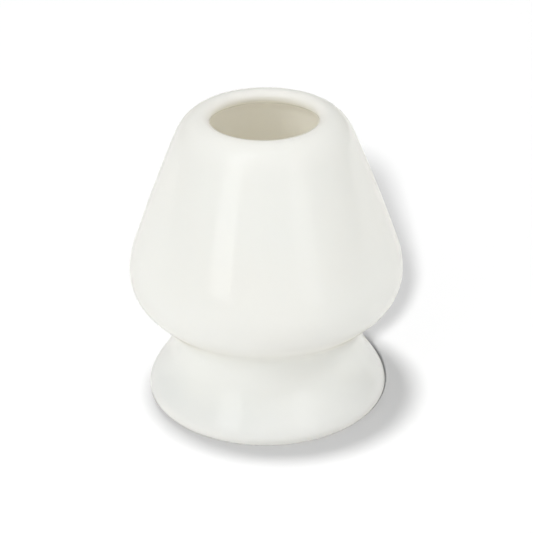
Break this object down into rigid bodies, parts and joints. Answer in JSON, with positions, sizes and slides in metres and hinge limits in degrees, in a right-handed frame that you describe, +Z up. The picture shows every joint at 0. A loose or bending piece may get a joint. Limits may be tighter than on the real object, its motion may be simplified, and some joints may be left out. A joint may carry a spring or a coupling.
{
  "type": "tea whisk holder",
  "caption": "Hollow glazed porcelain stand with an open-mouthed dome, a narrow waist and a flared foot, on which a bamboo tea whisk keeps its shape while it dries.",
  "frame": {"origin": "on the axis, in the plane that the foot ring stands on", "axes": "+Z up along the axis of the round body; the body is the same all round it, and the picture looks along +Y"},
  "size_m": [0.065, 0.065, 0.073],
  "materials": {
    "white_glaze": "glossy clear glaze over white porcelain"
  },
  "bodies": {
    "root": {"ceramic_body": "white_glaze"}
  },
  "joints": []
}
